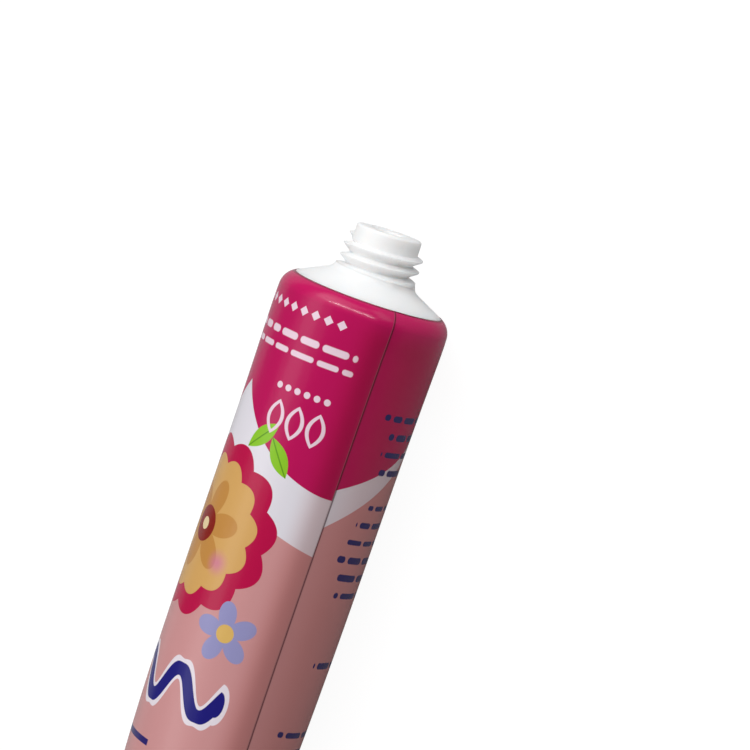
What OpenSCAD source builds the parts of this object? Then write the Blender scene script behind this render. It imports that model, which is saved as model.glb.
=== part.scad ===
// Small laminate squeeze tube with an open screw nozzle, lying at rest on its side.
// The tube is drawn along its own axis first: nozzle towards +Z, seam towards +X,
// height 0 at the sleeve's front edge. It is then laid down with its nozzle towards +X.

/* [Sleeve] */
// Outer diameter of the filled sleeve
sleeve_d = 18.66; // [17:0.02:21]
// Length from the sleeve's front edge to the end of the sealed tail
sleeve_len = 92; // [80:1:110]
// Thickness of the laminate
wall = 0.3; // [0.2:0.05:0.4]
// Radius of the corner where the sleeve turns in over the head
corner_r = 2.15; // [1.8:0.05:2.5]
// Extra radius where the sleeve is stretched over the head
swell = 0.17; // [0:0.01:0.3]
// Depth below the front edge at which the swelling is widest
swell_depth = 3.6; // [3:0.1:5]
// Width of the overlap along the side seam
lap_w = 1.5; // [1:0.1:2.5]
// Height of the step at the edge of the overlap
lap_step = 0.15; // [0.05:0.01:0.3]
// How far the soft belly is pressed flat where the tube lies
flat_spot = 0.1; // [0.05:0.01:0.2]

/* [Tail] */
// Length of the sealed band
crimp_len = 6; // [4:0.5:10]
// Spacing of the ribs pressed into the seal
crimp_pitch = 1.2; // [0.8:0.1:2]
// Depth of those ribs
crimp_depth = 0.1; // [0.05:0.01:0.2]
// Length of the sleeve that stays round behind its front edge
round_len = 14; // [8:1:30]
// Radius of the side creases where they meet the seal
crease_r = 0.3; // [0.25:0.05:0.6]
// How late the sleeve flattens towards the seal
late = 4; // [3:0.25:5]

/* [Shoulder and collar] */
// Slope of the shoulder cone
cone_slope = 26.5; // [20:0.5:32]
// Thickness of the shoulder
shoulder_t = 1.1; // [0.8:0.05:1.4]
// Depth of the head's rim inside the sleeve
rim_len = 3.2; // [2.6:0.1:5]
// Thickness of that rim
rim_t = 1; // [0.7:0.05:1.3]
// Diameter of the collar at its foot
collar_foot_d = 9.4; // [9.2:0.1:10.4]
// Diameter of the collar at its top
collar_top_d = 8.96; // [8.8:0.02:9.2]
// Height of the collar
collar_h = 0.56; // [0.4:0.02:1]

/* [Nozzle] */
// Height of the nozzle's rim above the sleeve's front edge
nozzle_h = 7.15; // [6.6:0.05:8.5]
// Diameter of the plain land above the threads
land_d = 7.26; // [7:0.02:7.6]
// Length of that land below the rim
land_len = 2; // [1.6:0.05:2.6]
// Diameter of the nozzle between the threads
root_d = 6.9; // [6.6:0.05:7]
// Diameter of the orifice
orifice_d = 3; // [2.4:0.1:4.6]
// Width of the bevel round the rim
rim_bevel = 0.26; // [0.1:0.02:0.4]

/* [Thread] */
// Diameter over the thread's crest
thread_d = 8.75; // [8.3:0.05:8.8]
// Rise of the thread for each turn
thread_pitch = 1.25; // [1:0.05:1.4]
// Depth of the crest below the collar's top where the thread starts
thread_sink = 0.21; // [0.1:0.01:0.3]
// Angle of the thread's run over which the collar's wall climbs with it
collar_climb = 235; // [180:5:260]
// Turns of the thread with its run-in and run-out
thread_turns = 3.04; // [2:0.02:3.1]
// Angle from the seam at which the thread starts
thread_start = 260; // [0:1:359]
// Angle over which the thread fades at each end
thread_fade = 50; // [40:5:180]
// Share of the pitch that the flatter upper flank takes
flank_up_share = 0.27; // [0.2:0.01:0.28]
// Share of the pitch that the lower flank takes
flank_low_share = 0.58; // [0.4:0.01:0.6]
// Share of the pitch that the crest takes
crest_share = 0.11; // [0.06:0.01:0.12]

/* [Hidden] */

ring_points = 72;
corner_rings = 6;
barrel_rings = 32;
thread_steps = 40;
climb_steps = 20;
step_run = 0.2;
overlap = 0.4;
lip_land = 0.08;
skin = 0.02;
lift = 4;
foot_sink = 0.1;
arc_share = 50;
arc_end = 0.4;

sleeve_r = sleeve_d / 2;
land_r = land_d / 2;
root_r = root_d / 2;
orifice_r = orifice_d / 2;
tail_len = sleeve_len - crimp_len;

// The swelling rises from nothing at the front edge, peaks and dies away along the sleeve.
function swelling(depth) = swell * depth / swell_depth * exp(1 - depth / swell_depth);
function radius_at(depth) = sleeve_r + swelling(depth);

// The corner is an arc from the cone's slope to the sleeve's side.
corner_depth = corner_r * cos(cone_slope);
corner_out_r = radius_at(corner_depth);
corner_mid_r = corner_out_r - corner_r;
edge_r = corner_mid_r + corner_r * sin(cone_slope);
cut_r = edge_r - lip_land;
seat_r = corner_out_r - wall;
seat_arc_r = corner_r - wall;

// Heights of the cone's outside and underside over a radius, and of the collar.
function cone_z(r) = (cut_r - r) * tan(cone_slope);
function under_z(r) = cone_z(r) - shoulder_t / cos(cone_slope);
collar_z = cone_z(collar_foot_d / 2);
collar_top_z = collar_z + collar_h;
rim_in_r = seat_r - rim_t;
bore_z = under_z(orifice_r);

// How flat the sleeve is at a depth, from 0 where it is round to 1 at the seal.
function flatness(depth) =
    depth <= round_len ? 0
    : pow(min(1, (depth - round_len) / (tail_len - round_len)), late);

// A section is an oval of four arcs whose perimeter stays that of the round sleeve.
// Two broad arcs face up and down, and two small ones turn the side creases.
function arc_angle(flat) = arc_share * (1 - flat) + arc_end;
function side_r(flat, r) = crease_r + (r - crease_r) * pow(1 - flat, 1.5);
function broad_r(flat, r) =
    (90 * r - (90 - arc_angle(flat)) * side_r(flat, r)) / arc_angle(flat);
function half_w(flat, r) =
    (broad_r(flat, r) - side_r(flat, r)) * sin(arc_angle(flat)) + side_r(flat, r);
function half_t(flat, r) =
    broad_r(flat, r) - (broad_r(flat, r) - side_r(flat, r)) * cos(arc_angle(flat));

// Direction of the outward normal after a share of the perimeter, in the first quarter.
function turn(share, flat, r) =
    let (run = 360 * r * share, side = (90 - arc_angle(flat)) * side_r(flat, r))
    run <= side ? run / side_r(flat, r)
    : 90 - arc_angle(flat) + (run - side) / broad_r(flat, r);

// Point of the oval moved out along its normal by rise, in the first quarter.
function quarter(share, flat, r, rise) =
    let (a = turn(share, flat, r), on_side = a <= 90 - arc_angle(flat),
         arc = on_side ? side_r(flat, r) : broad_r(flat, r),
         mid = on_side ? [half_w(flat, r) - arc, 0] : [0, half_t(flat, r) - arc])
    mid + (arc + rise) * [cos(a), sin(a)];

// The other three quarters are mirror images of the first.
function oval(share, flat, r, rise) =
    share <= 0.25 ? quarter(share, flat, r, rise)
    : share <= 0.5 ? let (p = quarter(0.5 - share, flat, r, rise)) [-p.x, p.y]
    : share <= 0.75 ? let (p = quarter(share - 0.5, flat, r, rise)) [-p.x, -p.y]
    : let (p = quarter(1 - share, flat, r, rise)) [p.x, -p.y];

// The overlap ends in a step at the seam and ramps down over its own width behind it.
lap_share = lap_w / (PI * sleeve_d);
function lap_rise(share) =
    share == 0 ? lap_step
    : lap_step * max(0, min(1, (share - 1 + 2 * lap_share) / lap_share));
shares = concat(
    [0, step_run / (PI * sleeve_d)],
    [for (i = [1 : ring_points - 1]) i / ring_points]
);

function ring(z, flat, r) =
    [for (s = shares)
        let (p = oval(s, flat, r, lap_rise(s) * (1 - flat)))
        [p.x, p.y, z]];

// Rings round the corner, then along the barrel and tail, closer together near the head.
rings = concat(
    [for (i = [0 : corner_rings - 1])
        let (a = (90 - cone_slope) * (1 - i / corner_rings))
        ring(corner_r * sin(a) - corner_depth, 0, corner_mid_r + corner_r * cos(a))],
    [for (i = [0 : barrel_rings])
        let (depth = corner_depth + (tail_len - corner_depth) * pow(i / barrel_rings, 1.25))
        ring(-depth, flatness(depth), radius_at(depth))],
    [ring(-tail_len - overlap, 1, sleeve_r)]
);

// Skins a list of equal closed rings, given from front to back.
module loft(list) {
    n = len(list[0]);
    last = len(list) - 1;
    polyhedron(
        points = [for (one = list) each one],
        faces = concat(
            [[for (i = [n - 1 : -1 : 0]) i]],
            [[for (i = [0 : n - 1]) last * n + i]],
            [for (k = [0 : last - 1], i = [0 : n - 1], half = [0, 1])
                let (a = k * n + i, b = k * n + (i + 1) % n)
                half == 0 ? [a, b, b + n] : [a, b + n, a + n]]
        )
    );
}

// Outline that sleeve and head share, from the cut edge round the corner and down the rim.
seat = concat(
    [[cut_r, 0]],
    [for (i = [0 : corner_rings])
        let (a = (90 - cone_slope) * (1 - i / corner_rings))
        [corner_mid_r + seat_arc_r * cos(a), seat_arc_r * sin(a) - corner_depth]],
    [[seat_r, -rim_len]]
);

// The head's pocket in the sleeve reaches up to the open air.
module head_pocket() {
    rotate_extrude($fn = 96)
        polygon(concat(seat, [[0, -rim_len], [0, lift], [cut_r, lift]]));
}

// The filling backs the underside of the head and closes the foot of the orifice.
module filling() {
    rotate_extrude($fn = 96)
        polygon([
            [0, -rim_len - overlap], [rim_in_r, -rim_len - overlap],
            [rim_in_r, under_z(rim_in_r)], [orifice_r, bore_z], [0, bore_z]
        ]);
}

// The seal is two walls pressed together, with ribs that run along the tube.
crimp_half_w = half_w(1, sleeve_r) + skin;
crimp_half_t = half_t(1, sleeve_r) + skin + crimp_depth;
crimp_cuts = 2 * round(2 * crimp_half_w / crimp_pitch);
function crimp_side(sign) =
    [for (i = [0 : crimp_cuts])
        [sign * (crimp_half_w - 2 * crimp_half_w * i / crimp_cuts),
         sign * (crimp_half_t - (i % 2) * crimp_depth)]];

module crimp() {
    translate([0, 0, -sleeve_len])
        linear_extrude(height = crimp_len)
            polygon(concat(crimp_side(1), crimp_side(-1)));
}

// A thread section fades from the nozzle's surface to its full height. The thread
// starts inside the collar, so its first turn grows out of the collar's top.
thread_z = collar_top_z - thread_sink;
thread_foot_r = root_r - foot_sink;
half_crest = thread_pitch * crest_share / 2;
foot_low = half_crest + thread_pitch * flank_low_share;
foot_up = half_crest + thread_pitch * flank_up_share;
thread_count = round(thread_turns * thread_steps);
function fade(a) =
    let (ends = min(a, thread_turns * 360 - a), t = min(1, ends / thread_fade))
    t * t * (3 - 2 * t);
function thread_ring(a) =
    let (size = 0.02 + 0.98 * fade(a), z = thread_z + thread_pitch * a / 360,
         tip = root_r + (thread_d / 2 - root_r) * size, around = a + thread_start)
    [for (p = [[thread_foot_r, -foot_low], [tip, -half_crest * size],
               [tip, half_crest * size], [thread_foot_r, foot_up]])
        [p.x * cos(around), p.x * sin(around), z + p.y]];

module thread() {
    loft([for (i = [0 : thread_count])
        thread_ring(i * thread_turns * 360 / thread_count)]);
}

// The collar's wall climbs to the crest of the first turn and then fades away under it.
climb_start = 360 * (thread_sink + skin) / thread_pitch;
function climb_ring(a) =
    let (size = 0.02 + 0.98 * min(1, (collar_climb - a) / thread_fade),
         top = thread_pitch * a / 360 - thread_sink, around = a + thread_start)
    [for (p = [[0, -skin], [collar_top_d / 2 - thread_foot_r, -skin],
               [thread_d / 2 - thread_foot_r, top], [0, top]])
        let (r = thread_foot_r + size * p.x)
        [r * cos(around), r * sin(around), collar_top_z + p.y]];

module collar_climbing() {
    loft([for (i = [0 : climb_steps])
        climb_ring(climb_start + (collar_climb - climb_start) * i / climb_steps)]);
}

// The moulded wall from the rim under the sleeve to the nozzle's bevelled rim.
module head_wall() {
    rotate_extrude($fn = 96)
        polygon(concat(
            [[orifice_r, nozzle_h], [land_r - rim_bevel, nozzle_h],
             [land_r, nozzle_h - rim_bevel], [land_r, nozzle_h - land_len],
             [root_r, nozzle_h - land_len - land_r + root_r], [root_r, collar_top_z],
             [collar_top_d / 2, collar_top_z], [collar_foot_d / 2, collar_z]],
            seat,
            [[rim_in_r, -rim_len], [rim_in_r, under_z(rim_in_r)], [orifice_r, bore_z]]
        ));
}

// At rest the belly is on the floor and the tail's corner opposite the seam touches it.
axis_h = sleeve_r - flat_spot;
corner_reach = sqrt(pow(crimp_half_w, 2) + pow(crimp_half_t, 2));
tail_roll = asin(axis_h / corner_reach) - atan(crimp_half_t / crimp_half_w);
mid_x = (sleeve_len - nozzle_h) / 2;

module lie() {
    translate([mid_x, 0, axis_h])
        rotate([270 - tail_roll, 0, 0])
            rotate([0, 90, 0])
                children();
}

module sleeve() {
    color("mediumvioletred")
        difference() {
            lie() {
                difference() {
                    loft(rings);
                    head_pocket();
                }
                filling();
                crimp();
            }
            translate([-sleeve_len, -sleeve_d, -lift])
                cube([2 * sleeve_len, 2 * sleeve_d, lift]);
        }
}

module head() {
    color("whitesmoke")
        lie() {
            head_wall();
            collar_climbing();
            thread();
        }
}

sleeve();
head();
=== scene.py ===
"""A small laminate squeeze tube with an open screw nozzle, lying on a pale floor.

Each surface is worked out in the tube's own frame, in millimetres: nozzle towards +Z,
seam towards +X, height 0 at the sleeve's front edge. Then it is laid down in metres.
"""

import bpy
import numpy as np
from mathutils import Matrix


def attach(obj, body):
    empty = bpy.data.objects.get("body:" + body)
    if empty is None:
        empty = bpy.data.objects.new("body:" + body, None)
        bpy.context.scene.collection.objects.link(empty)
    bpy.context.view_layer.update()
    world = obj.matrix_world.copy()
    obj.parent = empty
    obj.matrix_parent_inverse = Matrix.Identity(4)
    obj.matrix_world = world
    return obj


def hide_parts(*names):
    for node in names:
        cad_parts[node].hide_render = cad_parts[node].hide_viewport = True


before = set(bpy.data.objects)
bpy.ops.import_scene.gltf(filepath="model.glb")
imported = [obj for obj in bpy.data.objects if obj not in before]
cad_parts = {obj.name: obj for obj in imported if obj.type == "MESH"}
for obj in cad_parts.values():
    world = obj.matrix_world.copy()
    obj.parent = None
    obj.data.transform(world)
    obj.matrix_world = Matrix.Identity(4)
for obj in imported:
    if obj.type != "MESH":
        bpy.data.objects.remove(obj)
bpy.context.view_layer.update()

# Sleeve, as in the CAD model, in millimetres: it swells by SWELL at SWELL_DEPTH
SLEEVE_D = 18.66
SLEEVE_LEN = 92.0
WALL = 0.3
CORNER_R = 2.15
SWELL = 0.17
SWELL_DEPTH = 3.6
FLAT_SPOT = 0.1
LAP_W = 1.5
LAP_STEP = 0.15
# The cut lip lies this far inside the corner's arc
LIP_LAND = 0.08
# Tail: round down to ROUND_LEN, then flatter as the power LATE of the way to the seal
ROUND_LEN = 14.0
LATE = 4.0
CREASE_R = 0.3
CRIMP_LEN = 6.0
CRIMP_PITCH = 1.2
CRIMP_DEPTH = 0.1
# Half the angle in degrees of an oval's broad arcs, where it is round and at the seal
ARC_ROUND = 50.4
ARC_SEAL = 0.4
# The power by which the side arcs' radius falls as the section flattens
SIDE_FALL = 1.5
# Head, as in the CAD model: shoulder cone, rim inside the sleeve, collar and nozzle
CONE_SLOPE = np.radians(26.5)
SHOULDER_T = 1.1
RIM_LEN = 3.2
RIM_T = 1.0
COLLAR_FOOT_R = 4.7
COLLAR_TOP_R = 4.48
COLLAR_H = 0.56
NOZZLE_H = 7.15
LAND_R = 3.63
LAND_LEN = 2.0
ROOT_R = 3.45
ORIFICE_R = 1.5
RIM_ROUND = 0.26
# Thread, as in the CAD model: one start, that the collar's wall climbs with at first
THREAD_R = 4.375
THREAD_PITCH = 1.25
THREAD_SINK = 0.21
THREAD_TURNS = 3.04
THREAD_START = np.radians(260)
THREAD_FADE = np.radians(50)
COLLAR_CLIMB = np.radians(235)
FLANK_UP = 0.27 * THREAD_PITCH
FLANK_LOW = 0.58 * THREAD_PITCH
CREST_W = 0.11 * THREAD_PITCH
# The flanks run on to this far below the nozzle's wall
FOOT_SINK = 0.1
# From here on, finer shape than the CAD model has. Overlap: its ramp, its roll and the dip
LAP_RAMP = 4.5
ROLL_W = 2.6
LAP_ROLL = 0.283
DIP_START = 0.22
DIP_SLOPE = 0.268
DIP_W = 2.4
# The head's rim holds the wall up over HOLD_LEN, and HOLD_FADE further on it is free
HOLD_LEN = 1.5
HOLD_FADE = 4.0
# The seal's ribs rise over this length
CRIMP_FADE = 0.8
# Nozzle: its soft foot, its bore's mouth and a rim that is highest at the angle RIM_HIGH
FOOT_ROUND = 0.35
BORE_ROUND = 0.3
RIM_TILT = 0.07
RIM_HIGH = np.radians(60)
# Rounding where the thread's flanks meet each other, their crest and the nozzle's wall
FLANK_ROUND = 0.16
CREST_ROUND = 0.03
WALL_ROUND = 0.05
# The mould's parting line: its bearing from the seam, its flash and the halves' misfit
PARTING = np.radians(6.5)
FLASH = 0.035
FLASH_W = 0.07
MISFIT = 0.03
# The smooth skin sits this far inside the CAD's outline, so it never reaches out of it
SKIN = 0.012
# The CAD's sealed band stands this far outside the oval
CAD_SKIN = 0.02
# Grids: their counts, and the columns' step over SEAM_WIDTH beside the seam
SLEEVE_COLUMNS = 220
SEAM_STEP = 0.12
SEAM_WIDTH = 3.6
CORNER_ROWS = 14
SEAT_ROWS = 8
BARREL_ROWS = 150
SEAL_ROWS = 20
HEAD_COLUMNS = 360
SIDE_ROWS = 176
# Edges that turn by more than this stay sharp
SHARP_ANGLE = np.radians(38)
# Millimetres of depth for one unit of the print's second coordinate
PRINT_LEN = 100.0

SLEEVE_R = SLEEVE_D / 2
ROUND = 2 * np.pi * SLEEVE_R
TAIL_LEN = SLEEVE_LEN - CRIMP_LEN


def radius_at(depth):
    """Radius of the round sleeve: a swelling rises, peaks at SWELL_DEPTH and dies away."""
    swell = SWELL * depth / SWELL_DEPTH * np.exp(1 - depth / SWELL_DEPTH)
    return SLEEVE_R - SKIN + swell


CORNER_DEPTH = CORNER_R * np.cos(CONE_SLOPE)
CORNER_OUT_R = radius_at(CORNER_DEPTH)
CORNER_MID_R = CORNER_OUT_R - CORNER_R
EDGE_R = CORNER_MID_R + CORNER_R * np.sin(CONE_SLOPE)
CUT_R = EDGE_R - LIP_LAND
SEAT_R = CORNER_OUT_R - WALL
SEAT_ARC_R = CORNER_R - WALL
RIM_IN_R = SEAT_R - RIM_T


def cone_z(r):
    """Height of the shoulder cone over a radius: a straight line down from the collar."""
    return (CUT_R - r) * np.tan(CONE_SLOPE)


def under_z(r):
    """Height of the shoulder's underside, a wall thickness below the cone."""
    return cone_z(r) - SHOULDER_T / np.cos(CONE_SLOPE)


def flatness(depth):
    """0 where the sleeve is round, rising as a power of depth to 1 at the seal."""
    share = np.clip((depth - ROUND_LEN) / (TAIL_LEN - ROUND_LEN), 0, 1)
    return share ** LATE


def oval(share, flat, r, rise=0.0):
    """Point of a section, a share of the perimeter round from the seam.

    The section is an oval of four arcs. Its perimeter stays that of a circle of radius
    r, so the side arcs' angle and radius fall with flat while the broad arcs grow.
    """
    angle = np.radians((ARC_ROUND - ARC_SEAL) * (1 - flat) + ARC_SEAL)
    side = CREASE_R + (r - CREASE_R) * (1 - flat) ** SIDE_FALL
    broad = (np.pi / 2 * r - (np.pi / 2 - angle) * side) / angle
    half_w = (broad - side) * np.sin(angle) + side
    half_t = broad - (broad - side) * np.cos(angle)
    fold = np.abs((share % 1 + 0.25) % 0.5 - 0.25)
    run = 2 * np.pi * r * fold
    side_run = (np.pi / 2 - angle) * side
    on_side = run <= side_run
    turn = np.where(on_side, run / side, np.pi / 2 - angle + (run - side_run) / broad)
    arc = np.where(on_side, side, broad) + rise
    x = np.where(on_side, half_w - side, 0) + arc * np.cos(turn)
    y = np.where(on_side, 0, half_t - broad) + arc * np.sin(turn)
    sign_x = np.where((share % 1 > 0.25) & (share % 1 <= 0.75), -1, 1)
    sign_y = np.where(share % 1 > 0.5, -1, 1)
    return x * sign_x, y * sign_y


def crimp_size():
    """Half the width and half the thickness of the sealed band."""
    half_w, _ = oval(np.array(0.0), 1.0, SLEEVE_R)
    _, half_t = oval(np.array(0.25), 1.0, SLEEVE_R)
    return float(half_w), float(half_t)


CRIMP_W, CRIMP_T = crimp_size()
CAD_CRIMP_W = CRIMP_W + CAD_SKIN
CAD_CRIMP_T = CRIMP_T + CAD_SKIN + CRIMP_DEPTH
AXIS_H = SLEEVE_R - FLAT_SPOT
TAIL_ROLL = np.arcsin(AXIS_H / np.hypot(CAD_CRIMP_W, CAD_CRIMP_T)) - np.arctan(
    CAD_CRIMP_T / CAD_CRIMP_W
)
MID_X = (SLEEVE_LEN - NOZZLE_H) / 2
LIE = (
    Matrix.Translation((MID_X, 0, AXIS_H))
    @ Matrix.Rotation(3 * np.pi / 2 - TAIL_ROLL, 4, "X")
    @ Matrix.Rotation(np.pi / 2, 4, "Y")
)


def lay_down(points):
    """Turns points from the tube's frame in mm into the floor's frame in metres.

    The soft belly is pressed flat, so nothing reaches below the floor.
    """
    laid = points @ np.array(LIE)[:3, :3].T + np.array(LIE)[:3, 3]
    laid[:, 2] = np.maximum(laid[:, 2], 0)
    return laid / 1000


def grid_faces(rows, columns, wrap):
    """Quads between neighbouring rows and columns of a grid, as an index array."""
    across = columns if wrap else columns - 1
    row, column = np.meshgrid(np.arange(rows - 1), np.arange(across), indexing="ij")
    a = row * columns + column
    b = row * columns + (column + 1) % columns
    return np.stack([a, a + columns, b + columns, b], -1).reshape(-1, 4)


def make_piece(name, points, faces, uv=None):
    """A smooth mesh piece from points in the tube's frame, with an optional UV map."""
    mesh = bpy.data.meshes.new(name)
    laid = lay_down(points)
    mesh.from_pydata(laid.tolist(), [], faces)
    if uv is not None:
        loops = np.zeros(len(mesh.loops), np.int32)
        mesh.loops.foreach_get("vertex_index", loops)
        layer = mesh.uv_layers.new(name="Print")
        layer.data.foreach_set("uv", uv[loops].astype(np.float32).ravel())
    mesh.shade_smooth()
    mesh.set_sharp_from_angle(angle=SHARP_ANGLE)
    piece = bpy.data.objects.new(name, mesh)
    bpy.context.scene.collection.objects.link(piece)
    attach(piece, "root")
    return piece


def lap_rise(share, depth):
    """Height of the overlap: a slow ramp up behind the seam, then a roll down to its edge.

    The weld is pressed down, so its last ROLL_W rolls over. The wall beyond starts a
    step lower, dips and is soon round again. The head's rim holds both up at the front.
    """
    behind = (1 - share) * ROUND
    ahead = share * ROUND
    free = np.clip((depth - HOLD_LEN) / HOLD_FADE, 0, 1)
    sag = 0.5 + 0.5 * free * free * (3 - 2 * free)
    ramp = np.clip((LAP_RAMP - behind) / (LAP_RAMP - LAP_W), 0, 1)
    roll = np.clip(1 - behind / ROLL_W, 0, 1)
    dip = (DIP_START + DIP_SLOPE * ahead) * np.exp(-ahead / DIP_W)
    return LAP_STEP * ramp * ramp * (3 - 2 * ramp) - sag * (LAP_ROLL * roll * roll + dip)


def build_sleeve():
    """Sleeve as a grid: columns run round from the seam, rows run from lip to tail.

    Rows follow the pocket for the head, the cut lip, the corner's arc, the barrel,
    the flattening tail and the ribbed seal.
    """
    # Columns are fine beside the seam, where the overlap rolls down to its edge
    fine = np.arange(0, SEAM_WIDTH, SEAM_STEP) / ROUND
    columns = np.concatenate([
        [SEAM_STEP / 4 / ROUND], fine[1:6],
        np.linspace(fine[6], 1 - fine[-1], SLEEVE_COLUMNS), (1 - fine[:-1])[::-1]
    ])
    corner = np.linspace(np.pi / 2 - CONE_SLOPE, 0, CORNER_ROWS + 1)[:-1]
    inner = np.linspace(0, np.pi / 2 - CONE_SLOPE, SEAT_ROWS)
    # Front rows from the orifice's bottom out to the corner: radius, height and overlap
    front_r = np.concatenate([
        [ORIFICE_R, RIM_IN_R, RIM_IN_R, SEAT_R], CORNER_MID_R + SEAT_ARC_R * np.cos(inner),
        [CUT_R - 0.01, CUT_R + 0.03], CORNER_MID_R + CORNER_R * np.cos(corner),
    ])
    front_z = np.concatenate([
        [under_z(ORIFICE_R), under_z(RIM_IN_R), -RIM_LEN, -RIM_LEN],
        SEAT_ARC_R * np.sin(inner) - CORNER_DEPTH,
        [-0.05, 0.0], CORNER_R * np.sin(corner) - CORNER_DEPTH,
    ])
    front_lap = np.concatenate([np.zeros(len(front_r) - len(corner)), np.ones(len(corner))])
    # The barrel's rows lie closer together towards its front
    steps = np.linspace(0, 1, BARREL_ROWS) ** 1.15
    depth = CORNER_DEPTH + (TAIL_LEN - CORNER_DEPTH) * steps
    seal = np.linspace(TAIL_LEN, SLEEVE_LEN, SEAL_ROWS + 1)[1:]
    share = columns[None, :]
    # Front part: circles with the overlap added to their radius
    around = 2 * np.pi * share
    rise = lap_rise(share, -front_z[:, None]) * front_lap[:, None]
    front = np.stack([
        (front_r[:, None] + rise) * np.cos(around),
        (front_r[:, None] + rise) * np.sin(around),
        front_z[:, None] + 0 * around,
    ], -1)
    # Barrel and tail: ovals of constant perimeter
    flat = flatness(depth)[:, None]
    rise = lap_rise(share, depth[:, None]) * (1 - flat)
    x, y = oval(share, flat, radius_at(depth)[:, None], rise)
    barrel = np.stack([x, y, 0 * x - depth[:, None]], -1)
    # Seal: the last oval with ribs pressed into both faces
    sx, sy = oval(share, np.array([[1.0]]), SLEEVE_R)
    inside = np.clip((seal - TAIL_LEN) / CRIMP_FADE, 0, 1)[:, None]
    ribs = 0.5 + 0.5 * np.cos(2 * np.pi * sx / CRIMP_PITCH)
    press = np.clip(np.abs(sy) / CRIMP_T, 0, 1)
    grow = 1 + inside * press * CRIMP_DEPTH * ribs / CRIMP_T
    band = np.stack([sx + 0 * seal[:, None], sy * grow, 0 * sx - seal[:, None]], -1)
    grid = np.concatenate([front, barrel, band])
    rows, count = grid.shape[:2]
    points = grid.reshape(-1, 3)
    row_depth = np.concatenate([-front_z, depth, seal])
    uv = np.stack(np.broadcast_arrays(share, row_depth[:, None] / PRINT_LEN), -1).reshape(-1, 2)
    # The step of the overlap joins the last column to the first
    faces = [f[::-1] for f in grid_faces(rows, count, True).tolist()]
    pole = len(points)
    points = np.concatenate([points, [[0, 0, under_z(ORIFICE_R)]]])
    uv = np.concatenate([uv, [[0.5, uv[0, 1]]]])
    faces += [[pole, (i + 1) % count, i][::-1] for i in range(count)]
    tail = (rows - 1) * count
    faces += [[tail + i for i in range(count)]]
    piece = make_piece("printed_sleeve", points, faces, uv)
    # The overlap's own edge is cut laminate in painted shade, and the disc down the orifice is
    # cream
    index = np.zeros(len(faces), np.int32)
    index[np.arange(rows - 1) * count + count - 1] = 1
    index[(rows - 1) * count:(rows - 1) * count + count] = 2
    piece.data.polygons.foreach_set("material_index", index)
    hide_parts("sleeve")
    return piece


def soft_max(a, b, blend):
    """The larger of two fields, rounded where they meet over about the blend's width."""
    return (a + b + np.sqrt((a - b) ** 2 + blend ** 2)) / 2


def thread_radius(around, height, base):
    """Radius of the nozzle's side, from the thread's section carried on a helix.

    Each turn is the lowest of its crest and its two flank lines, rounded where they
    meet. The nozzle shows whichever of its own wall and the turns is highest.
    """
    first = cone_z(COLLAR_FOOT_R) + COLLAR_H - THREAD_SINK
    foot = ROOT_R - FOOT_SINK
    lag = (around - THREAD_START) % (2 * np.pi)
    result = base + 0 * lag
    for turn in range(int(THREAD_TURNS) + 1):
        run = lag + 2 * np.pi * turn
        ends = np.clip(np.minimum(run, THREAD_TURNS * 2 * np.pi - run) / THREAD_FADE, 0, 1)
        size = ends * ends * (3 - 2 * ends)
        tip = ROOT_R + (THREAD_R - ROOT_R) * size
        offset = height - first - THREAD_PITCH * run / (2 * np.pi)
        upper = tip - (offset - CREST_W / 2) * (tip - foot) / FLANK_UP
        lower = tip + (offset + CREST_W / 2) * (tip - foot) / FLANK_LOW
        if turn == 0:
            # The collar's wall climbs with the first turn, then fades away under it
            climb = np.maximum(THREAD_PITCH * run / (2 * np.pi) - THREAD_SINK, 0.05)
            share = np.clip((height - first - THREAD_SINK) / climb, 0, 1)
            fill = np.clip((COLLAR_CLIMB - run) / THREAD_FADE, 0, 1)
            wall = foot + fill * (COLLAR_TOP_R + share * (THREAD_R - COLLAR_TOP_R) - foot)
            lower = np.maximum(lower, wall)
            tip = np.maximum(tip, wall)
        ridge = -soft_max(soft_max(-upper, -lower, FLANK_ROUND), -tip, CREST_ROUND)
        result = soft_max(result, np.maximum(ridge, 0), WALL_ROUND)
    return result


def bend(start, corner, end, count):
    """Points of a quadratic curve from start to end, pulled towards a corner."""
    t = np.linspace(0, 1, count)[:, None]
    start, corner, end = (np.array([p]) for p in (start, corner, end))
    return (1 - t) ** 2 * start + 2 * t * (1 - t) * corner + t * t * end


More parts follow.
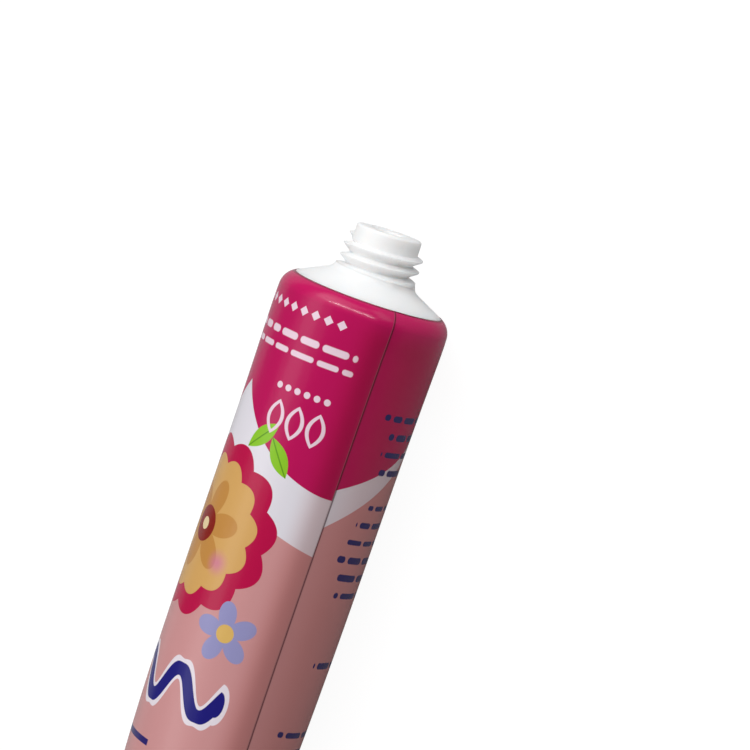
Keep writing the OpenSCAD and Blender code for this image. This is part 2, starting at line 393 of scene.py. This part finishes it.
def build_head():
    """Head as one closed band: a section walked round from the bore and back.

    The nozzle's side takes its radius from the thread. A faint flash stands along the
    mould's parting line, and the half beyond it is out of step by a hair.
    """
    count = HEAD_COLUMNS
    collar_z = cone_z(COLLAR_FOOT_R)
    collar_top = collar_z + COLLAR_H
    # The bore's mouth rounds over into a rim that still rises a hair to its crown
    bore = np.array([
        [ORIFICE_R, under_z(ORIFICE_R)], [ORIFICE_R, NOZZLE_H - BORE_ROUND],
        [ORIFICE_R + 0.02, NOZZLE_H - 0.16], [ORIFICE_R + 0.12, NOZZLE_H - 0.07],
        [ORIFICE_R + 0.6, NOZZLE_H - 0.03], [LAND_R - 0.7, NOZZLE_H],
    ])
    rim = bend((LAND_R - 1.3 * RIM_ROUND, NOZZLE_H), (LAND_R - 0.03, NOZZLE_H),
               (LAND_R - 0.01, NOZZLE_H - 1.1 * RIM_ROUND), 9)
    side_z = np.linspace(NOZZLE_H - 1.2 * RIM_ROUND, collar_top, SIDE_ROWS)
    step = np.clip((side_z - NOZZLE_H + LAND_LEN) / (LAND_R - ROOT_R) + 1, 0, 1)
    foot = np.clip(1 - (side_z - collar_top) / FOOT_ROUND, 0, 1)
    side = np.stack([
        ROOT_R + (LAND_R - ROOT_R) * step + (COLLAR_TOP_R - ROOT_R) * foot ** 3, side_z
    ], -1)
    top_edge = bend((COLLAR_TOP_R - 0.08, collar_top), (COLLAR_TOP_R, collar_top),
                    (COLLAR_TOP_R + 0.03, collar_top - 0.07), 5)
    foot_start = (COLLAR_TOP_R + 0.4 * (COLLAR_FOOT_R - COLLAR_TOP_R), collar_z + 0.6 * COLLAR_H)
    foot_end = (COLLAR_FOOT_R + 0.4, cone_z(COLLAR_FOOT_R + 0.4))
    fillet = bend(foot_start, (COLLAR_FOOT_R, collar_z), foot_end, 9)
    cone_r = np.linspace(foot_end[0], CUT_R - 0.04, 22)[1:]
    inner = np.linspace(np.pi / 2 - CONE_SLOPE, 0, SEAT_ROWS)
    seat = np.stack([
        CORNER_MID_R + SEAT_ARC_R * np.cos(inner), SEAT_ARC_R * np.sin(inner) - CORNER_DEPTH
    ], -1)
    section = np.concatenate([
        bore, rim, side, top_edge, fillet, np.stack([cone_r, cone_z(cone_r)], -1),
        [[CUT_R - 0.01, -0.08]], seat,
        [[SEAT_R, -RIM_LEN], [RIM_IN_R, -RIM_LEN], [RIM_IN_R, under_z(RIM_IN_R)]],
    ])
    around = np.linspace(0, 2 * np.pi, count, endpoint=False)[None, :]
    r = np.repeat(section[:, :1], count, 1)
    first, last = len(bore) + len(rim), len(bore) + len(rim) + len(side)
    r[first:last] = thread_radius(around, side_z[:, None], side[:, :1])
    # The parting line runs over the rim's edge, the thread and the collar
    marked = slice(len(bore) + 3, last + len(top_edge) + 5)
    turned = (around - PARTING + np.pi / 2) % np.pi - np.pi / 2
    flash = FLASH * np.exp(-((turned * LAND_R / FLASH_W) ** 2))
    half = np.sin(around - PARTING) > 0
    r[marked] += flash - MISFIT * half
    # The rim is cut a hair out of square: full height at RIM_HIGH, lowest across from it
    z = section[:, 1:] - RIM_TILT * (1 - np.cos(around - RIM_HIGH)) * np.clip(
        (section[:, 1:] - NOZZLE_H + LAND_LEN) / LAND_LEN, 0, 1
    ) ** 2
    points = np.stack([r * np.cos(around), r * np.sin(around), z], -1).reshape(-1, 3)
    rows = len(section)
    faces = grid_faces(rows, count, True)
    end = (rows - 1) * count + np.arange(count)
    ahead = (rows - 1) * count + (np.arange(count) + 1) % count
    faces = np.concatenate([faces, np.stack([end, end % count, ahead % count, ahead], -1)])
    piece = make_piece("moulded_head", points, faces.tolist())
    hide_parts("head")
    return piece


def linear(code):
    """A #RRGGBB colour turned from sRGB to the linear RGBA that shaders use."""
    raw = np.array([int(code[i:i + 2], 16) / 255 for i in (1, 3, 5)])
    turned = np.where(raw <= 0.04045, raw / 12.92, ((raw + 0.055) / 1.055) ** 2.4)
    return (*turned, 1.0)


def add(tree, kind, inputs=None, **settings):
    """Adds a node, sets its properties, and links or sets the inputs given."""
    node = tree.nodes.new(kind)
    for key, value in settings.items():
        setattr(node, key, value)
    for key, value in (inputs or {}).items():
        if isinstance(value, bpy.types.NodeSocket):
            tree.links.new(value, node.inputs[key])
        else:
            node.inputs[key].default_value = value
    return node


def new_material(name, colour, roughness, specular=0.5):
    """A node material named for what it is, with its Principled shader set up."""
    material = bpy.data.materials.new(name)
    material.use_nodes = True
    tree = material.node_tree
    shader = tree.nodes["Principled BSDF"]
    shader.inputs["Base Color"].default_value = linear(colour)
    shader.inputs["Roughness"].default_value = roughness
    shader.inputs["Specular IOR Level"].default_value = specular
    return material, tree, shader


# The print's inks
MAGENTA = "#C00E5A"
PAPER_WHITE = "#EAE6EE"
ROSE = "#D49898"
CRIMSON = "#BE0A48"
GOLD = "#DBAA64"
OCHRE = "#C98F48"
BLUSH = "#D674A4"
CHESTNUT = "#8C1C12"
STRAW = "#F0D9A8"
LAVENDER = "#9A98C8"
HONEY = "#E3B968"
LEAF_GREEN = "#8FCB2A"
VEIN_GREEN = "#5E9A1C"
PALE_PINK = "#F3D8E6"
RIBBON_PALE = "#F0E6EE"
RIBBON_BLUE = "#1E1A7C"
NAVY = "#2A2070"
# Places on the print in mm: how far round from the seam, then how far from the front edge
ROSETTE = (44.4, 28.4)
BLUSH_SPOT = (48.6, 31.6)
BLOSSOM = (52.3, 38.2)
# Leaves also have their turn in radians
LEAVES = ((51.6, 18.6, 0.9), (48.9, 17.0, 2.3))
DROPS = (49.6, 52.0, 54.4)
DROP_DEPTH = 14.6
# Lobed outlines: how many lobes, the radius between them and their height
ROSETTE_RIM = (12, 8.9, 1.1)
ROSETTE_GOLD = (12, 6.9, 0.9)
ROSETTE_STAR = (6, 2.2, 3.2)
BLOSSOM_RIM = (5, 1.5, 2.0)
# Length and width of a leaf and of a drop
LEAF_SIZE = (4.6, 1.9)
DROP_SIZE = (3.8, 2.1)
# Pale rows: depth, pitch, half a mark's size, and from where to where they run
LOZENGE_DEPTH = 3.1
LOZENGE_PITCH = 1.55
LOZENGE_HALF = 0.56
LOZENGE_RUN = (36.0, 54.4)
DOT_DEPTH = 11.3
DOT_PITCH = 1.15
DOT_R = 0.36
DOT_RUN = (48.3, 55.2)
# Ribbon: its middle depth, swing, wavelength and run, and half its width with its border
RIBBON_DEPTH = 45.6
RIBBON_SWING = 2.0
RIBBON_PITCH = 7.2
RIBBON_RUN = (35.0, 54.0)
RIBBON_HALF = 0.72
RIBBON_BORDER = 1.15
# Navy bar under the ribbon: from where to where it runs, and between which depths
BAR_RUN = (36.0, 47.0)
BAR_DEPTHS = (52.3, 53.0)
# Dashes: how thick, the pitch of their rows, the depths of a band and the rows' run
DASH_T = 0.66
PALE_DASH_PITCH = 1.7
PALE_DASH_BAND = (5.1, 8.5)
PALE_DASH_RUN = (36.0, 56.2)
DASH_PITCH = 2.0
DASH_RUN = (2.2, 24.0)
DASH_RAGGED = 3.2
DASH_BANDS = ((10.0, 18.0), (20.0, 32.0), (38.0, 40.0), (46.0, 50.0))
# Lower borders of the colour fields, as waves: top, slope, middle and droop
MAGENTA_WAVES = (
    (19.95, -0.45, 0.0, 0.015), (20.5, 0.0, ROUND / 2, 0.04), (21.1, 0.0, ROUND, 0.04)
)
WHITE_WAVES = (
    (24.2, -0.75, 0.0, 0.015), (26.5, 0.0, ROUND / 2, 0.04), (27.45, 0.2, ROUND, 0.01)
)
# Cells to a millimetre in a row of dashes, and the gap from a dash to its cell's border
DASH_RATE = 0.36
DASH_GAP = 0.2
# How far apart in the pattern of cells two neighbouring rows are taken
ROW_SHIFT = 7.31
# Lines on the overlap's cut edge with its painted highlight, of painted shadow at its foot and of
# painted shade on the front lip: width, mix and tone
BARE_EDGE_AND_HIGHLIGHT = (0.1, 0.35, "#8E6068")
FOOT_SHADOW_LINE = (0.2, 0.75, "#40101C")
LIP_SHADE_LINE = (0.12, 0.9, "#7A0836")
# The tone of the painted shade that darkens the inks beside the seam
SEAM_SHADE_TONE = "#ECD9D6"
# Size in millimetres of the soft wall's waviness
WAVE_SIZE = 6.25


class Sheet:
    """The flat print: node maths over x, mm round from the seam, and d, mm of depth."""

    def __init__(self, tree):
        self.tree = tree
        uv = add(tree, "ShaderNodeUVMap", uv_map="Print")
        split = add(tree, "ShaderNodeSeparateXYZ", {0: uv.outputs[0]})
        self.x = self.calc("MULTIPLY", split.outputs[0], ROUND)
        self.d = self.calc("MULTIPLY", split.outputs[1], PRINT_LEN)
        self.colour = linear(PAPER_WHITE)

    def calc(self, operation, a, b=0.0, c=0.0):
        """One sum of node maths."""
        return add(self.tree, "ShaderNodeMath", {0: a, 1: b, 2: c}, operation=operation).outputs[0]

    def past(self, field, soft=0.035):
        """1 where a field in mm is over 0, with the soft edge that ink has."""
        ramp = add(self.tree, "ShaderNodeMapRange", {0: field, 1: -soft, 2: soft},
                   interpolation_type="SMOOTHSTEP")
        return ramp.outputs[0]

    def within(self, value, low, high, soft=0.035):
        """1 where a value lies between two bounds."""
        middle = self.calc("SUBTRACT", value, (low + high) / 2)
        inside = self.calc("SUBTRACT", (high - low) / 2, self.calc("ABSOLUTE", middle))
        return self.past(inside, soft)

    def both(self, *masks):
        """1 where all the masks are 1."""
        result = masks[0]
        for mask in masks[1:]:
            result = self.calc("MULTIPLY", result, mask)
        return result

    def lay(self, mask, colour):
        """Prints a colour where the mask is 1."""
        mix = add(self.tree, "ShaderNodeMix", {0: mask, 6: self.colour, 7: linear(colour)},
                  data_type="RGBA")
        self.colour = mix.outputs[2]

    def arch(self, top, slope, middle, droop):
        """A height over x: a sloped line less droop times the square of the offset."""
        off = self.calc("SUBTRACT", self.x, middle)
        curve = self.calc("MULTIPLY", self.calc("MULTIPLY", off, off), -droop)
        line = self.calc("MULTIPLY_ADD", off, slope, top)
        return self.calc("ADD", line, curve)

    def highest(self, *fields):
        """The largest of several fields."""
        result = fields[0]
        for field in fields[1:]:
            result = self.calc("MAXIMUM", result, field)
        return result

    def polar(self, x, d, turn=0.0):
        """Distance and bearing from a point of the print."""
        across = self.calc("SUBTRACT", self.x, x)
        down = self.calc("SUBTRACT", self.d, d)
        square = self.calc("MULTIPLY_ADD", across, across, self.calc("MULTIPLY", down, down))
        bearing = self.calc("ADD", self.calc("ARCTAN2", down, across), turn)
        return self.calc("SQRT", square), bearing

    def petals(self, bearing, count, radius, depth):
        """An outline radius with rounded lobes around it."""
        lobe = self.calc("ABSOLUTE", self.calc("COSINE", self.calc("MULTIPLY", bearing, count / 2)))
        return self.calc("MULTIPLY_ADD", lobe, depth, radius)

    def leaf(self, x, d, turn, length, width):
        """A field over 0 inside a pointed leaf, and the distance across from its rib."""
        across = self.calc("SUBTRACT", self.x, x)
        down = self.calc("SUBTRACT", self.d, d)
        c, s = float(np.cos(turn)), float(np.sin(turn))
        run = self.calc("MULTIPLY_ADD", across, c, self.calc("MULTIPLY", down, s))
        side = self.calc("MULTIPLY_ADD", across, -s, self.calc("MULTIPLY", down, c))
        share = self.calc("DIVIDE", run, length / 2)
        bow = self.calc("SUBTRACT", 1.0, self.calc("MULTIPLY", share, share))
        half = self.calc("MULTIPLY", bow, width / 2)
        return self.calc("SUBTRACT", half, self.calc("ABSOLUTE", side)), side

    def ribbon(self, depth, swing, period, first, last, half):
        """A field over 0 inside a round-ended band of even width along a sine wave."""
        held = self.calc("MINIMUM", self.calc("MAXIMUM", self.x, first), last)
        phase = self.calc("MULTIPLY", held, 2 * np.pi / period)
        wave = self.calc("MULTIPLY_ADD", self.calc("SINE", phase), swing, depth)
        slope = self.calc("MULTIPLY", self.calc("COSINE", phase), swing * 2 * np.pi / period)
        stretch = self.calc("MULTIPLY_ADD", slope, slope, 1.0)
        down = self.calc("SUBTRACT", self.d, wave)
        square = self.calc("DIVIDE", self.calc("MULTIPLY", down, down), stretch)
        across = self.calc("SUBTRACT", self.x, held)
        far = self.calc("SQRT", self.calc("MULTIPLY_ADD", across, across, square))
        return self.calc("SUBTRACT", half, far)

    def cells(self, value, pitch):
        """Number of the cell that a value falls in and its offset from that cell's middle."""
        place = self.calc("DIVIDE", value, pitch)
        number = self.calc("FLOOR", place)
        offset = self.calc("SUBTRACT", self.calc("SUBTRACT", place, number), 0.5)
        return number, self.calc("MULTIPLY", offset, pitch)

    def noise(self, value, shift=0.0):
        """A random number from 0 to 1 for each whole value."""
        seed = self.calc("ADD", value, shift)
        return add(self.tree, "ShaderNodeTexWhiteNoise", {"W": seed},
                   noise_dimensions="1D").outputs["Value"]

    def dashes(self, pitch, thick, low, high, first, last, ragged=0.0):
        """Rows of round-ended dashes of uneven length, with a ragged start by row.

        Each row is a band about its middle. Cells of uneven length cut it into dashes,
        which end a little before their cell's border.
        """
        row, off = self.cells(self.d, pitch)
        seed = self.calc("MULTIPLY", row, ROW_SHIFT)
        place = self.calc("MULTIPLY_ADD", self.x, DASH_RATE, seed)
        cell = add(self.tree, "ShaderNodeTexVoronoi", {"W": place, "Scale": 1.0},
                   voronoi_dimensions="1D", feature="DISTANCE_TO_EDGE")
        border = self.calc("DIVIDE", cell.outputs["Distance"], DASH_RATE)
        ends = self.calc("SUBTRACT", border, DASH_GAP)
        start = self.calc("MULTIPLY_ADD", self.noise(row, 3.7), ragged, first)
        inside = self.calc("MINIMUM", ends, self.calc("SUBTRACT", self.x, start))
        inside = self.calc("MINIMUM", inside, self.calc("SUBTRACT", last, self.x))
        half = self.calc("MULTIPLY_ADD", self.noise(row, 1.3), thick / 5, thick * 0.4)
        short = self.calc("MAXIMUM", self.calc("SUBTRACT", half, inside), 0.0)
        square = self.calc("MULTIPLY_ADD", short, short, self.calc("MULTIPLY", off, off))
        dash = self.past(self.calc("SUBTRACT", half, self.calc("SQRT", square)), 0.06)
        return self.both(dash, self.past(inside), self.within(self.d, low, high))


def print_fields(sheet):
    """Magenta shoulder, white wave and rose body, as wide waves with a step at the seam."""
    magenta = sheet.highest(*[sheet.arch(*wave) for wave in MAGENTA_WAVES])
    white = sheet.highest(*[sheet.arch(*wave) for wave in WHITE_WAVES])
    sheet.lay(sheet.past(sheet.calc("SUBTRACT", sheet.d, white)), ROSE)
    sheet.lay(sheet.past(sheet.calc("SUBTRACT", magenta, sheet.d)), MAGENTA)


def print_blossoms(sheet):
    """A scalloped gold rosette in a crimson ring, a lavender blossom and two leaves."""
    r, bearing = sheet.polar(*ROSETTE, 0.2)
    rim = sheet.petals(bearing, *ROSETTE_RIM)
    sheet.lay(sheet.past(sheet.calc("SUBTRACT", rim, r)), CRIMSON)
    gold = sheet.petals(bearing, *ROSETTE_GOLD)
    sheet.lay(sheet.past(sheet.calc("SUBTRACT", gold, r)), GOLD)
    inner = sheet.petals(bearing, *ROSETTE_STAR)
    sheet.lay(sheet.past(sheet.calc("SUBTRACT", inner, r), 0.1), OCHRE)
    blush, _ = sheet.polar(*BLUSH_SPOT)
    tint = sheet.past(sheet.calc("SUBTRACT", 0.9, blush), 0.9)
    sheet.lay(sheet.calc("MULTIPLY", tint, 0.7), BLUSH)
    sheet.lay(sheet.past(sheet.calc("SUBTRACT", 2.0, r)), CHESTNUT)
    sheet.lay(sheet.past(sheet.calc("SUBTRACT", 0.7, r)), STRAW)
    r, bearing = sheet.polar(*BLOSSOM, 0.5)
    petal = sheet.petals(bearing, *BLOSSOM_RIM)
    sheet.lay(sheet.past(sheet.calc("SUBTRACT", petal, r)), LAVENDER)
    sheet.lay(sheet.past(sheet.calc("SUBTRACT", 1.0, r)), HONEY)
    for x, d, turn in LEAVES:
        field, rib = sheet.leaf(x, d, turn, *LEAF_SIZE)
        inside = sheet.past(field)
        sheet.lay(inside, LEAF_GREEN)
        vein = sheet.past(sheet.calc("SUBTRACT", 0.07, sheet.calc("ABSOLUTE", rib)))
        sheet.lay(sheet.both(inside, vein), VEIN_GREEN)


def print_marks(sheet):
    """Pale rows and drops on the magenta, a blue ribbon, a bar and rows of navy dashes."""
    front = sheet.within(sheet.x, *LOZENGE_RUN)
    _, across = sheet.cells(sheet.x, LOZENGE_PITCH)
    down = sheet.calc("ABSOLUTE", sheet.calc("SUBTRACT", sheet.d, LOZENGE_DEPTH))
    reach = sheet.calc("ADD", down, sheet.calc("ABSOLUTE", across))
    lozenge = sheet.calc("SUBTRACT", LOZENGE_HALF, reach)
    sheet.lay(sheet.both(front, sheet.past(lozenge)), PALE_PINK)
    rows = sheet.dashes(PALE_DASH_PITCH, DASH_T, *PALE_DASH_BAND, *PALE_DASH_RUN)
    sheet.lay(rows, PALE_PINK)
    _, across = sheet.cells(sheet.x, DOT_PITCH)
    down = sheet.calc("SUBTRACT", sheet.d, DOT_DEPTH)
    square = sheet.calc("MULTIPLY_ADD", across, across, sheet.calc("MULTIPLY", down, down))
    dot = sheet.calc("SUBTRACT", DOT_R, sheet.calc("SQRT", square))
    sheet.lay(sheet.both(sheet.within(sheet.x, *DOT_RUN), sheet.past(dot)), PALE_PINK)
    for x in DROPS:
        outer, _ = sheet.leaf(x, DROP_DEPTH, np.pi / 2, *DROP_SIZE)
        inner = sheet.calc("SUBTRACT", outer, 0.42)
        sheet.lay(sheet.calc("SUBTRACT", sheet.past(outer), sheet.past(inner)), PALE_PINK)
    for half, ink in ((RIBBON_BORDER, RIBBON_PALE), (RIBBON_HALF, RIBBON_BLUE)):
        ribbon = sheet.ribbon(RIBBON_DEPTH, RIBBON_SWING, RIBBON_PITCH, *RIBBON_RUN, half)
        sheet.lay(sheet.past(ribbon), ink)
    bar = sheet.both(sheet.within(sheet.x, *BAR_RUN), sheet.within(sheet.d, *BAR_DEPTHS))
    sheet.lay(bar, NAVY)
    for low, high in DASH_BANDS:
        rows = sheet.dashes(DASH_PITCH, DASH_T, low, high, *DASH_RUN, DASH_RAGGED)
        sheet.lay(rows, NAVY)


def printed_laminate():
    """Printed laminate: inks under a thin low-gloss varnish, which gives soft highlights."""
    material, tree, shader = new_material("printed laminate", MAGENTA, 0.24, 0.26)
    shader.inputs["Coat Weight"].default_value = 0.14
    shader.inputs["Coat Roughness"].default_value = 0.08
    sheet = Sheet(tree)
    print_fields(sheet)
    print_blossoms(sheet)
    print_marks(sheet)
    # Painted shade: the inks are darkened and warmed towards the seam and on the side beyond it,
    # which turns from the light
    back = sheet.within(sheet.x, 0.0, 16.0, 4.0)
    shade_mask = sheet.past(sheet.calc("SUBTRACT", sheet.x, ROUND - ROLL_W), 1.8)
    shade_mask = sheet.calc("MAXIMUM", back, shade_mask)
    shade_mask = sheet.calc("MULTIPLY", shade_mask, sheet.past(sheet.calc("SUBTRACT", sheet.d, 2.2), 1.6))
    seam_shade = add(tree, "ShaderNodeMix", {0: shade_mask, 6: sheet.colour, 7: linear(SEAM_SHADE_TONE)},
               data_type="RGBA", blend_type="MULTIPLY")
    sheet.colour = seam_shade.outputs[2]
    # The overlap's cut edge is a thin dull line, part bare laminate and part painted highlight
    # where its rounded edge catches light, with a dark line of painted shadow at its foot
    width, mix, tone = BARE_EDGE_AND_HIGHLIGHT
    edge = sheet.past(sheet.calc("SUBTRACT", sheet.x, ROUND - width), 0.03)
    sheet.lay(sheet.calc("MULTIPLY", edge, mix), tone)
    # Painted shadow: a dark line at the foot of the overlap's step
    width, mix, tone = FOOT_SHADOW_LINE
    foot = sheet.past(sheet.calc("SUBTRACT", width, sheet.x), 0.06)
    sheet.lay(sheet.calc("MULTIPLY", foot, mix), tone)
    # The sleeve's front edge is cut through the ink, and a dark line of painted shade lies on it
    # where it meets the head
    width, mix, tone = LIP_SHADE_LINE
    lip = sheet.past(sheet.calc("SUBTRACT", width, sheet.d), 0.08)
    sheet.lay(sheet.calc("MULTIPLY", lip, mix), tone)
    tree.links.new(sheet.colour, shader.inputs["Base Color"])
    # Faint waviness of the soft wall breaks up the highlights
    place = add(tree, "ShaderNodeTexCoord")
    wavy = add(tree, "ShaderNodeTexNoise",
               {"Vector": place.outputs["Object"], "Scale": 1000 / WAVE_SIZE, "Detail": 2.0})
    bump = add(tree, "ShaderNodeBump",
               {"Height": wavy.outputs[0], "Strength": 0.12, "Distance": 0.0004})
    tree.links.new(bump.outputs[0], shader.inputs["Normal"])
    return material


def shaded_cut_laminate():
    """Cut edge of the laminate: matt, unvarnished, in the inks' crimson and darkened as painted
    shade.
    """
    material, _, _ = new_material("cut laminate edge in painted shade", "#6A1838", 0.6)
    return material


def cream():
    """Cream filling: smooth, wet and off-white, seen only down the orifice."""
    material, _, _ = new_material("white cream", "#F3EEE4", 0.25)
    return material


def moulded_polyethylene():
    """Moulded polyethylene: white, slightly waxy, so that light bleeds into thin edges."""
    material, tree, shader = new_material("moulded polyethylene", "#F9F9F9", 0.4, 0.4)
    shader.inputs["Subsurface Weight"].default_value = 0.85
    shader.inputs["Subsurface Radius"].default_value = (1.0, 0.9, 0.85)
    shader.inputs["Subsurface Scale"].default_value = 0.0015
    return material


sleeve = build_sleeve()
head = build_head()
for material in (printed_laminate(), shaded_cut_laminate(), cream()):
    sleeve.data.materials.append(material)
head.data.materials.append(moulded_polyethylene())

# The camera's fit to the photo, from the outline of the sleeve and the nozzle
SHOT_SIDE = np.radians(22.68)
SHOT_RISE = np.radians(6.61)
SHOT_ROLL = np.radians(19.16)
SHOT_RIGHT = 3.46
SHOT_DEPTH = 7.94
SHOT_FAR = 450.0
SHOT_SCALE = 9.339
IMAGE_W = 750
# How much of the floor's own white the camera sees, and its strength
FLOOR_SHARE = 0.7
FLOOR_GLOW = 1.34
# The softboxes' aim: a point on the tube's axis, behind the sleeve's front edge
LIT_DEPTH = 20.0
# How bright the even room is, where 1 is white
ROOM_LIGHT = 0.15


def hold(name, data, axes, point):
    """Links a camera or a lamp, with its axes and its place given in the tube's frame."""
    turn = np.array(LIE)[:3, :3] @ np.stack(axes, 1)
    place = lay_down(point[None, :])[0]
    holder = bpy.data.objects.new(name, data)
    bpy.context.scene.collection.objects.link(holder)
    holder.matrix_world = Matrix([[*turn[i], place[i]] for i in range(3)] + [[0, 0, 0, 1]])
    return holder


def add_camera():
    """Camera on the seam's side of the tube, rolled so that the nozzle points up."""
    camera = bpy.data.cameras.new("camera")
    camera.sensor_width = 36
    camera.lens = SHOT_SCALE * SHOT_FAR * camera.sensor_width / IMAGE_W
    camera.clip_start, camera.clip_end = 0.01, 10
    camera.dof.use_dof = False
    toward = np.array([np.cos(-SHOT_SIDE), np.sin(-SHOT_SIDE), 0])
    along = np.array([0.0, 0.0, 1.0])
    right = np.cross(along, toward)
    aim = right * SHOT_RIGHT - along * SHOT_DEPTH
    back = np.cos(SHOT_RISE) * toward + np.sin(SHOT_RISE) * along
    up = np.cos(SHOT_RISE) * along - np.sin(SHOT_RISE) * toward
    across = np.cos(SHOT_ROLL) * right + np.sin(SHOT_ROLL) * up
    upward = np.cos(SHOT_ROLL) * up - np.sin(SHOT_ROLL) * right
    holder = hold("camera", camera, [across, upward, back], aim + SHOT_FAR * back)
    bpy.context.scene.camera = holder


def add_floor():
    """A plain pale floor with a faint shadow, near white to the camera.

    Its glow is for camera rays alone, so it throws no light on the tube.
    """
    mesh = bpy.data.meshes.new("floor")
    side = 2.0
    mesh.from_pydata(
        [(-side, -side, 0), (side, -side, 0), (side, side, 0), (-side, side, 0)],
        [], [(0, 1, 2, 3)]
    )
    floor = bpy.data.objects.new("floor", mesh)
    bpy.context.scene.collection.objects.link(floor)
    material, tree, shader = new_material("white floor paint", "#B0B0B0", 0.8, 0.2)
    glow = add(tree, "ShaderNodeEmission", {"Strength": FLOOR_GLOW})
    path = add(tree, "ShaderNodeLightPath")
    seen = add(tree, "ShaderNodeMath", {0: path.outputs["Is Camera Ray"], 1: FLOOR_SHARE},
               operation="MULTIPLY")
    mix = add(tree, "ShaderNodeMixShader",
              {0: seen.outputs[0], 1: shader.outputs[0], 2: glow.outputs[0]})
    tree.links.new(mix.outputs[0], tree.nodes["Material Output"].inputs["Surface"])
    mesh.materials.append(material)


def add_softbox(name, side, rise, far, size, power):
    """A softbox aimed at the barrel's front, far mm away, sized in metres, power in watts.

    Side is its angle in degrees to the right of the camera, rise its angle to the nozzle.
    """
    turn = np.radians(side) - SHOT_SIDE
    tilt = np.radians(rise)
    away = np.array([np.cos(turn) * np.cos(tilt), np.sin(turn) * np.cos(tilt), np.sin(tilt)])
    aim = np.array([0.0, 0.0, -LIT_DEPTH])
    lamp = bpy.data.lights.new(name, "AREA")
    lamp.shape = "RECTANGLE"
    lamp.size, lamp.size_y = size
    lamp.energy = power
    across = np.array([-np.sin(turn), np.cos(turn), 0])
    hold(name, lamp, [across, np.cross(away, across), away], aim + away * far)


def add_lights():
    """A dim even room with softboxes on the left and beyond both sides of the nozzle's end.

    The tall left softbox has a brighter core, so that its highlight fades out sideways. A
    narrow strip draws the thin highlight along the sleeve's rolled corner.
    """
    world = bpy.data.worlds.new("studio")
    bpy.context.scene.world = world
    world.use_nodes = True
    world.node_tree.nodes["Background"].inputs["Color"].default_value = (1, 1, 1, 1)
    world.node_tree.nodes["Background"].inputs["Strength"].default_value = ROOM_LIGHT
    add_softbox("left softbox", -62, 0, 800, (0.7, 2.6), 2.5)
    add_softbox("left softbox core", -63, 0, 800, (0.3, 2.4), 2.2)
    add_softbox("left end softbox", -52, 52, 800, (0.6, 0.6), 1.75)
    add_softbox("far end softbox", 58, 58, 800, (0.6, 0.6), 1.5)
    add_softbox("strip", -19, 37, 600, (0.6, 0.025), 1.8)


add_camera()
add_floor()
add_lights()
bpy.context.scene.view_settings.view_transform = "Standard"
